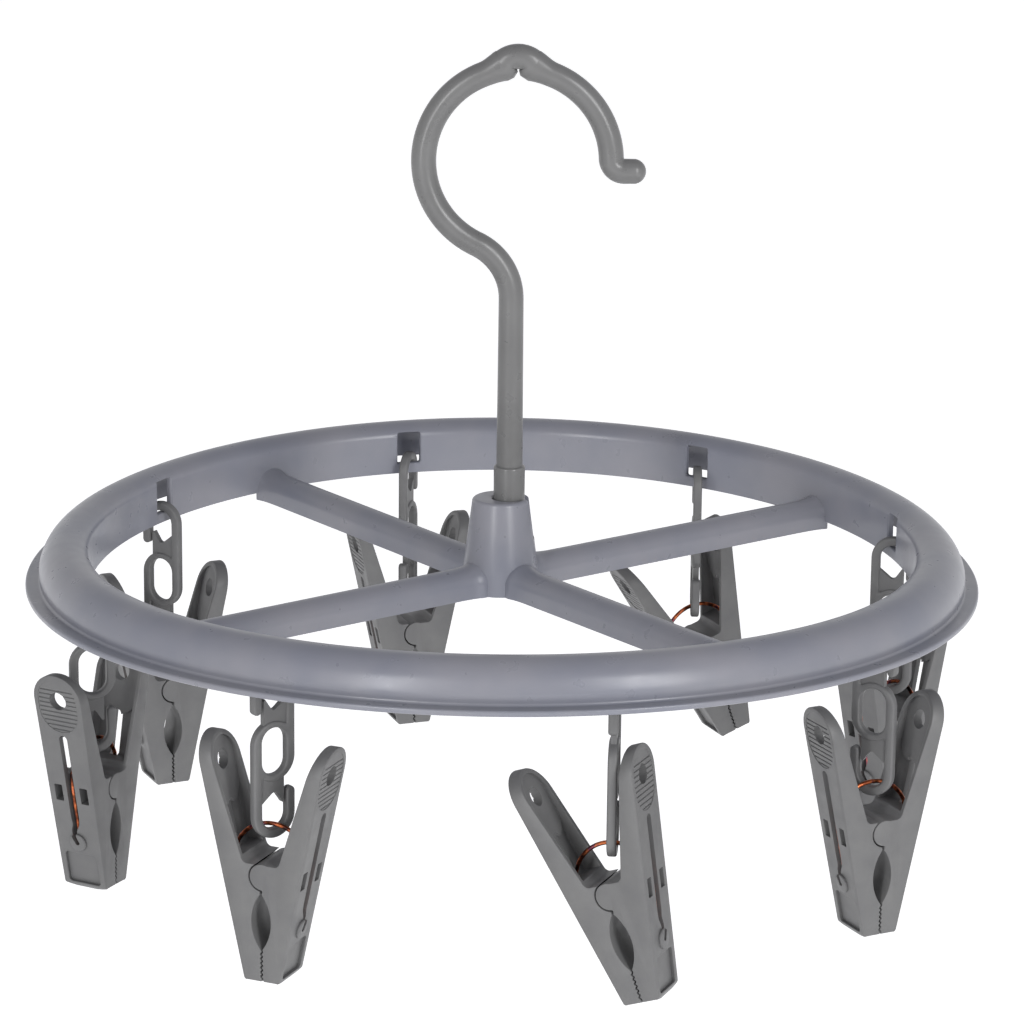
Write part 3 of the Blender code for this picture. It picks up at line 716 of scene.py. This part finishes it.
def groove(height, side):
    """V groove across the pad: half length is sqrt(radius squared - distance past its middle squared)."""
    past = max(height - TOP_CENTRE, PAD[0] - height, 0.0)
    half = math.sqrt(PAD[1] ** 2 - past ** 2) - 0.35 * MM
    across = np.array([-half, half])
    section = np.array([(-GROOVE_HALF, 0.1 * MM), (0.0, -GROOVE_DEPTH), (GROOVE_HALF, 0.1 * MM)])
    rows = np.zeros((2, 3, 3))
    rows[..., 0] = side * (face(height + section[:, 0]) + section[:, 1])
    rows[..., 1] = across[:, None]
    rows[..., 2] = height + section[:, 0]
    return skin("groove", rows)


def slot_core(side):
    """Wire slot: a band along a line that swings aside at its foot to meet the wire's hole."""
    low, high, half = WIRE_SLOT
    height = np.linspace(high - half, low, 40)
    swing = 0.9 * MM * np.sin(np.clip((height - low) / (5 * MM), 0, 1) * np.pi)
    width = np.interp(height, [low, low + 3 * MM, low + 7 * MM], [0.7 * MM, 0.75 * MM, half])
    top = arc((0, high - half), half, 180, 0, 13)
    foot = arc((0, low), 0.7 * MM, 0, -180, 9)
    band = np.concatenate([top, np.stack([swing + width, height], -1)[1:], foot[1:],
                           np.stack([swing - width, height], -1)[:0:-1]])
    return laid_on("slot", np.stack([band, band]), [-SLOT_DEPTH, 1.5 * MM], side)


def inner_pad(side):
    """Thicker plate behind the finger hole, with a round lower edge, standing on the channel's floor."""
    radius = TOP_HALF - LEG_SIDE + 0.3 * MM
    outline = np.concatenate([arc((0, TOP_CENTRE), radius, 0, 180, 31),
                              arc((0, 46.5 * CLIP), radius, 180, 360, 31)])
    levels = [-LEG_PLATE - 0.9 * MM, -LEG_PLATE + 0.5 * MM]
    return laid_on("inner_pad", np.stack([outline, outline]), levels, side)


# %% A leg, from both outlines and all its cores
def build_leg(knuckled):
    """One leg in clip axes."""
    side = 1 if knuckled else -1
    leg = extruded("leg", leg_side_outline(knuckled), -TOP_HALF - MM, TOP_HALF + MM, "XZ")
    moulded(leg, tongue("front", 0.0, side, JAW_BOW), "INTERSECT")
    floor = V_BOTTOM + LEG_PLATE
    plate_top = (face(CLIP_LENGTH, LEG_PLATE), CLIP_LENGTH)
    corner = rounded((face(floor, LEG_PLATE), floor), (0, floor), plate_top, MM, 5)
    hollow = np.concatenate([[(0, CLIP_LENGTH), (0, floor)], corner, [plate_top]])
    channel = extruded("channel", hollow * (side, 1), -TOP_HALF, TOP_HALF, "XZ")
    moulded(leg, moulded(channel, tongue("inside", LEG_SIDE, side), "INTERSECT"))
    eased(leg, 0.28 * MM)
    moulded(leg, inner_pad(side), "UNION")

    height, radius, proud = BOSS
    levels, growths = mouth(proud + 0.8 * MM, 0.45 * MM, 0.0)
    boss = soft_box((radius, radius), radius, -growths[:-1], 9) + (0, height)
    moulded(leg, laid_on("boss", boss, levels[:-1] + proud, side), "UNION")

    pad_half = (PAD[1], (TOP_CENTRE - PAD[0]) / 2 + PAD[1])
    pad_centre = (0, (TOP_CENTRE + PAD[0]) / 2)
    moulded(leg, soft_core("pad", pad_centre, pad_half, PAD[1] - 0.001 * MM, 0.16 * MM, 0.1 * MM, side))
    heights = FIRST_GROOVE + GROOVE_PITCH * np.arange(GROOVE_COUNT)
    cores = [groove(height, side) for height in heights]
    for across in (-SIDE_WINDOW[1], SIDE_WINDOW[1]):
        cores.append(soft_core("window", (across, SIDE_WINDOW[0]), (1.1 * CLIP, 2.15 * CLIP), 0.25 * MM,
                               3.2 * MM, 0.15 * MM, side))
    cores.append(soft_core("pocket", (0, JAW_POCKET[0]), (JAW_POCKET[1], 4.1 * CLIP), 0.9 * MM,
                           JAW_POCKET[2], 0.25 * MM, side))
    moulded(leg, together("face_cores", cores))
    finger = soft_core("finger", (0, FINGER_HOLE[0]), (FINGER_HOLE[1],) * 2, FINGER_HOLE[1] - 0.001 * MM,
                       4.5 * MM, 0.35 * MM, side)
    moulded(leg, together("through_cores", [finger, slot_core(side)]))
    return shaded(leg.data), leg


knuckle_mesh, knuckle_pattern = build_leg(True)
socket_mesh, socket_pattern = build_leg(False)
print("legs:", len(knuckle_mesh.polygons), "and", len(socket_mesh.polygons), "faces")

# %% [markdown]
# ## The spring wires
#
# One bent wire closes each clip. It is hooked into the raised ring on one leg, runs up the slot,
# bows across the V and comes down the other leg. It is a round rod along a path, so the path is
# all there is to decide: the arms lie a little below the outer face and the bow is an arc.

# %% Spring wire
WIRE_R = 0.55 * MM
BOW_R = 10.0 * CLIP
BOW_CENTRE = 27.5 * CLIP
ARM_DEPTH = 1.05 * CLIP


def build_spring():
    """Wire along its path: end turned into the leg, arm up the slot, bow of radius BOW_R, and back."""
    heights = np.linspace(BOSS[0] + 1.2 * MM, 26 * CLIP, 26)
    arm = np.stack([face(heights, ARM_DEPTH), heights], axis=-1)
    turn = np.linspace(0, np.pi / 2, 8)[:-1]
    end = np.stack([face(BOSS[0], ARM_DEPTH) - 1.1 * MM * (1 - np.sin(turn)),
                    BOSS[0] + 1.2 * MM * (1 - np.cos(turn))], axis=-1)
    bow = arc((0, BOW_CENTRE), BOW_R, 15, 165, 71)
    half = np.concatenate([end, arm])
    path = np.concatenate([half, bow, (half * (-1, 1))[::-1]])
    share = np.linspace(0, 1, len(path))
    smooth = np.stack([np.convolve(np.pad(path[:, i], 3, "edge"), np.ones(7) / 7, "valid")
                       for i in (0, 1)], -1)
    path = np.where((share > 0.02)[:, None] & (share < 0.98)[:, None], smooth, path)
    wire = rod("wire", path, np.full(len(path), WIRE_R), 12)
    return shaded(wire.data, 60), wire


spring_mesh, spring_pattern = build_spring()
for pattern in (link_pattern, knuckle_pattern, socket_pattern, spring_pattern):
    bpy.data.objects.remove(pattern, do_unlink=True)
print("spring:", len(spring_mesh.polygons), "faces")

# %% [markdown]
# ## Real plastics
#
# One grey is never one grey. Moulded polypropylene cools unevenly, so its tone drifts over a few
# centimetres, its gloss breaks up where fingers have rubbed it, and its skin has a fine ripple. A
# small function adds a node with its settings and its links, and each finish is written with it.

# %% Colours and nodes
def linear(code):
    """Linear RGBA of an sRGB hex colour."""
    value = np.array([int(code[i:i + 2], 16) for i in (1, 3, 5)]) / 255
    return (*np.where(value <= 0.04045, value / 12.92, ((value + 0.055) / 1.055) ** 2.4), 1.0)


def add(tree, kind, inputs=None, stops=None, **settings):
    """Add a node; an input given as a socket is linked, and any other value is set on it."""
    node = tree.nodes.new(kind)
    for name, value in settings.items():
        setattr(node, name, value)
    for name, value in (inputs or {}).items():
        if isinstance(value, bpy.types.NodeSocket):
            tree.links.new(value, node.inputs[name])
        else:
            node.inputs[name].default_value = value
    if stops:
        ramp = node.color_ramp
        for spare in list(ramp.elements)[1:]:
            ramp.elements.remove(spare)
        for number, (place, code) in enumerate(stops):
            element = ramp.elements[0] if number == 0 else ramp.elements.new(place)
            element.position = place
            element.color = linear(code)
    return node


def moulded_plastic(name, tones, roughness, ripple, patch):
    """Moulded polypropylene: drifting tone, uneven gloss, and a skin with a fine ripple.

    tones are the colours of the drift, roughness its lowest and highest value, ripple the width and
    depth of the skin's unevenness, and patch the size of one area of tone.
    """
    finish = bpy.data.materials.new(name)
    finish.use_nodes = True
    tree = finish.node_tree
    tree.nodes.clear()
    place = add(tree, "ShaderNodeTexCoord").outputs["Object"]
    drift = add(tree, "ShaderNodeTexNoise", {"Vector": place, "Scale": 1 / patch, "Detail": 3.0,
                                             "Roughness": 0.55})
    tone = add(tree, "ShaderNodeValToRGB", {"Fac": drift.outputs["Fac"]}, stops=tones)
    rubbed = add(tree, "ShaderNodeTexNoise", {"Vector": place, "Scale": 1 / (4 * MM), "Detail": 4.0})
    gloss = add(tree, "ShaderNodeMapRange", {
        "Value": rubbed.outputs["Fac"], "From Min": 0.3, "From Max": 0.7,
        "To Min": roughness[0], "To Max": roughness[1]})
    grain = add(tree, "ShaderNodeTexNoise", {"Vector": place, "Scale": 1 / ripple[0], "Detail": 2.0})
    bump = add(tree, "ShaderNodeBump", {"Height": grain.outputs["Fac"], "Distance": ripple[1],
                                        "Strength": 0.6})
    shader = add(tree, "ShaderNodeBsdfPrincipled", {
        "Base Color": tone.outputs["Color"], "Roughness": gloss.outputs["Result"],
        "Normal": bump.outputs["Normal"], "IOR": 1.49})
    add(tree, "ShaderNodeOutputMaterial", {"Surface": shader.outputs["BSDF"]})
    return finish


# %% [markdown]
# The ring comes from a polished mould, so it is the glossiest; its grey has a faint blue cast that drifts
# at random.
# The hook is darker. The clips and links come from a spark-eroded mould, whose fine texture
# scatters light. Texture that fine (0.1 mm) would vanish here, so it is drawn 0.35 mm wide. The
# polished skins only have the long shallow ripple that cooling leaves, 5 to 6 mm wide.

# %% Finishes of the plastics
frame_finish = moulded_plastic(
    "polypropylene_polished_mould", ((0.35, "#6f717b"), (0.52, "#76777f"), (0.68, "#7b7b82")),
    (0.27, 0.33), (6 * MM, 0.006 * MM), 28 * MM)
hook_finish = moulded_plastic(
    "polypropylene_hook", ((0.3, "#5e5e5e"), (0.7, "#656565")), (0.26, 0.33), (5 * MM, 0.008 * MM), 15 * MM)
clip_finish = moulded_plastic(
    "polypropylene_eroded_mould", ((0.3, "#5a5a5b"), (0.7, "#636363")), (0.42, 0.56),
    (0.35 * MM, 0.02 * MM), 9 * MM)
print("plastics:", frame_finish.name, hook_finish.name, clip_finish.name)

# %% [markdown]
# The wire is dark spring steel. Its colour runs from near black to bright copper within a few
# millimetres, with a hint of violet. Near black is the steel's own colour; the copper and the violet
# are painted highlights and a painted colour fringe, laid in patches by noise. A metal keeps the
# shader's own IOR, and the change of colour follows the wire's place in space.

# %% Finish of the wire
def steel_with_painted_highlights():
    """Bright drawn spring steel, near black, with painted copper highlights and a painted violet fringe."""
    finish = bpy.data.materials.new("coppered_spring_steel")
    finish.use_nodes = True
    tree = finish.node_tree
    tree.nodes.clear()
    place = add(tree, "ShaderNodeTexCoord").outputs["Object"]
    patches = add(tree, "ShaderNodeTexNoise", {"Vector": place, "Scale": 1 / (3 * MM), "Detail": 2.0})
    # Near black is the steel's own colour; brown and copper are painted highlights, violet a painted colour
    # fringe.
    tone = add(tree, "ShaderNodeValToRGB", {"Fac": patches.outputs["Fac"]}, stops=(
        (0.34, "#2a1c1c"), (0.46, "#8c4a30"), (0.56, "#d0764a"), (0.66, "#7c4658")))
    shader = add(tree, "ShaderNodeBsdfPrincipled", {
        "Base Color": tone.outputs["Color"], "Metallic": 1.0, "Roughness": 0.3})
    add(tree, "ShaderNodeOutputMaterial", {"Surface": shader.outputs["BSDF"]})
    return finish


wire_finish = steel_with_painted_highlights()
print("metal:", wire_finish.name)

# %% [markdown]
# ## Hang everything in its place
#
# The record says where each joint is, and each piece hangs on one. A link turns about the bar
# below its window, a clip about its wire's bow. The finished mesh is moved, not the object, so
# every object stays at the origin and a pattern on its material stays where it is.

# %% How each set hangs, in degrees: link's turn from the radius, clip's lean, place on the bow
HANGS = ((-30, 0, 0), (30, 20, 12), (-30, 0, 0), (0, 0, 0),
         (0, 0, 0), (-22, 0, 0), (-20, 20, 14), (0, 0, 0))


def dress(mesh, name, matrix, finish, node):
    """One finished piece: a copy of a mesh, put in place, with its finish, instead of a CAD node."""
    piece = bpy.data.objects.new(name, mesh.copy())
    bpy.context.scene.collection.objects.link(piece)
    piece.data.transform(matrix)
    piece.data.materials.clear()
    piece.data.materials.append(finish)
    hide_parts(node)
    return piece


still = Matrix.Identity(4)
ring_piece = dress(shaded(ring_frame.data, 32), "spoked_ring", still, frame_finish,
                   "ring_frame")
hook_piece = dress(shaded(swivel_hook.data, 35), "hanging_hook", still, hook_finish,
                   "swivel_hook")
for scratch in (ring_frame, swivel_hook):
    bpy.data.objects.remove(scratch, do_unlink=True)
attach(ring_piece, "frame")
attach(hook_piece, "hook")


def heading(axis):
    """Turn about Z that takes +X to a level axis."""
    return Matrix.Rotation(math.atan2(axis[1], axis[0]), 4, "Z")


for number, (turn, lean, along) in enumerate(HANGS, start=1):
    link_joint = JOINTS[f"link_swing_{number}"]
    radial = heading((link_joint["axis"][1], -link_joint["axis"][0]))
    seat = Matrix.Translation(link_joint["pos_m"]) @ radial @ Matrix.Rotation(math.radians(turn), 4, "Z")
    link = dress(link_mesh, f"hooked_link_{number}", seat, clip_finish, f"link_{number}")
    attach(link, f"link_{number}")

    clip_joint = JOINTS[f"clip_swing_{number}"]
    bow_place = math.radians(along)
    seat = Vector((BOW_R * math.sin(bow_place), 0, BOW_CENTRE + BOW_R * math.cos(bow_place)))
    hang = (Matrix.Translation(clip_joint["pos_m"]) @ heading(clip_joint["axis"])
            @ Matrix.Rotation(math.radians(-lean), 4, "Y") @ Matrix.Translation(-seat))
    knuckle = dress(knuckle_mesh, f"clip_leg_a_{number}", hang, clip_finish,
                    f"knuckle_leg_{number}")
    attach(knuckle, f"clip_{number}")
    socket = dress(socket_mesh, f"clip_leg_b_{number}", hang, clip_finish,
                   f"socket_leg_{number}")
    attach(socket, f"jaw_{number}")
    wire = dress(spring_mesh, f"bent_wire_{number}", hang, wire_finish, f"spring_{number}")
    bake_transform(wire)
print(len(HANGS), "sets of link, clip and wire are in place")

# %% [markdown]
# ## Floor, light and camera
#
# The hanger is shown as in a catalogue: a plain white floor well below it, white walls and a
# darker ceiling, so that the dome of the ring is a little darker than its side. Two tall, narrow
# soft boxes stand in front, one to the right and one to the left. Each draws a bright line down a
# rod. The floor glows a little, as a lit table does, which keeps it white without more lamps.

# %% Floor
FLOOR_DROP = 0.16                # metres below the lowest clip


def pale_floor():
    """Level disc: rings of points (radius cos t, radius sin t), stepped out from the middle."""
    radius = np.array([0.01, 1.0, 4.0, 14.0])[:, None]
    turn = np.linspace(0, 2 * np.pi, 64, endpoint=False)[None]
    level = np.full((4, 64), cad_box[0][2] - FLOOR_DROP)
    rows = np.stack([radius * np.cos(turn), radius * np.sin(turn), level], axis=-1)
    index = np.arange(256).reshape(4, 64)
    beside = np.roll(index, -1, axis=1)
    quads = np.stack([index[:-1], index[1:], beside[1:], beside[:-1]], axis=-1)
    mesh = bpy.data.meshes.new("floor")
    mesh.from_pydata(rows.reshape(-1, 3).tolist(), [], quads.reshape(-1, 4).tolist() + [index[0].tolist()])
    floor = bpy.data.objects.new("floor", mesh)
    bpy.context.scene.collection.objects.link(floor)
    paint = bpy.data.materials.new("matt_white_paper")
    paint.use_nodes = True
    shader = paint.node_tree.nodes["Principled BSDF"]
    shader.inputs["Base Color"].default_value = linear("#ffffff")
    shader.inputs["Roughness"].default_value = 0.9
    shader.inputs["Emission Color"].default_value = (1, 1, 1, 1)
    shader.inputs["Emission Strength"].default_value = 0.5
    mesh.materials.append(paint)
    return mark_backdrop(floor)


pale_floor()

# %% Light
scene = bpy.context.scene
scene.view_settings.view_transform = "Standard"
AIM = Vector((0, 0, -0.1))


def studio_world():
    """White walls and a darker ceiling: the tone follows the height of the direction."""
    world = bpy.data.worlds.new("studio")
    world.use_nodes = True
    tree = world.node_tree
    direction = add(tree, "ShaderNodeTexCoord").outputs["Generated"]
    height = add(tree, "ShaderNodeSeparateXYZ", {"Vector": direction}).outputs["Z"]
    tone = add(tree, "ShaderNodeValToRGB", {"Fac": height}, stops=(
        (0.0, "#ffffff"), (0.25, "#f4f4f6"), (0.7, "#b8b8bc"), (1.0, "#acacb0")))
    tree.links.new(tone.outputs["Color"], tree.nodes["Background"].inputs["Color"])
    tree.nodes["Background"].inputs["Strength"].default_value = 0.86
    return world


scene.world = studio_world()


def soft_box_light(name, place, size, power):
    """Rectangular studio light that faces the hanger."""
    data = bpy.data.lights.new(name, "AREA")
    data.shape = "RECTANGLE"
    data.size, data.size_y = size
    data.energy = power
    light = bpy.data.objects.new(name, data)
    scene.collection.objects.link(light)
    light.location = place
    light.rotation_euler = (AIM - Vector(place)).to_track_quat("-Z", "Y").to_euler()
    return light


soft_box_light("key", (0.9, -1.3, 0.45), (0.35, 1.0), 13)
soft_box_light("strip", (-0.7, -1.4, 0.3), (0.12, 1.1), 9)

# %% Camera
CAMERA_TARGET = Vector((RING_CENTRE[0], 0, 2.0 * MM + RING_BASE))
CAMERA_DISTANCE = 1.101
CAMERA_RISE = math.radians(16.39)
CAMERA_LENS = 146.7                 # millimetres on a 36 mm sensor
PAN, TILT, ROLL = (math.radians(angle) for angle in (-0.126, 0.837, -0.579))


def catalogue_camera():
    """Camera in front of the ring's centre and above it, then panned, tilted and rolled a little."""
    back = Vector((0, -math.cos(CAMERA_RISE), math.sin(CAMERA_RISE)))
    place = CAMERA_TARGET + back * CAMERA_DISTANCE
    ahead, right = -back, Vector((1, 0, 0))
    up = right.cross(ahead)
    turn = Matrix.Rotation(PAN, 3, up)
    ahead, right = turn @ ahead, turn @ right
    turn = Matrix.Rotation(TILT, 3, right)
    ahead, up = turn @ ahead, turn @ up
    turn = Matrix.Rotation(ROLL, 3, ahead)
    right, up = turn @ right, turn @ up
    data = bpy.data.cameras.new("catalogue")
    data.lens = CAMERA_LENS
    data.sensor_width = 36.0
    camera = bpy.data.objects.new("catalogue", data)
    scene.collection.objects.link(camera)
    axes = Matrix((right, up, -ahead)).transposed().to_4x4()
    camera.matrix_world = Matrix.Translation(place) @ axes
    return camera


scene.camera = catalogue_camera()
print("camera is", round(CAMERA_DISTANCE, 2), "m away")
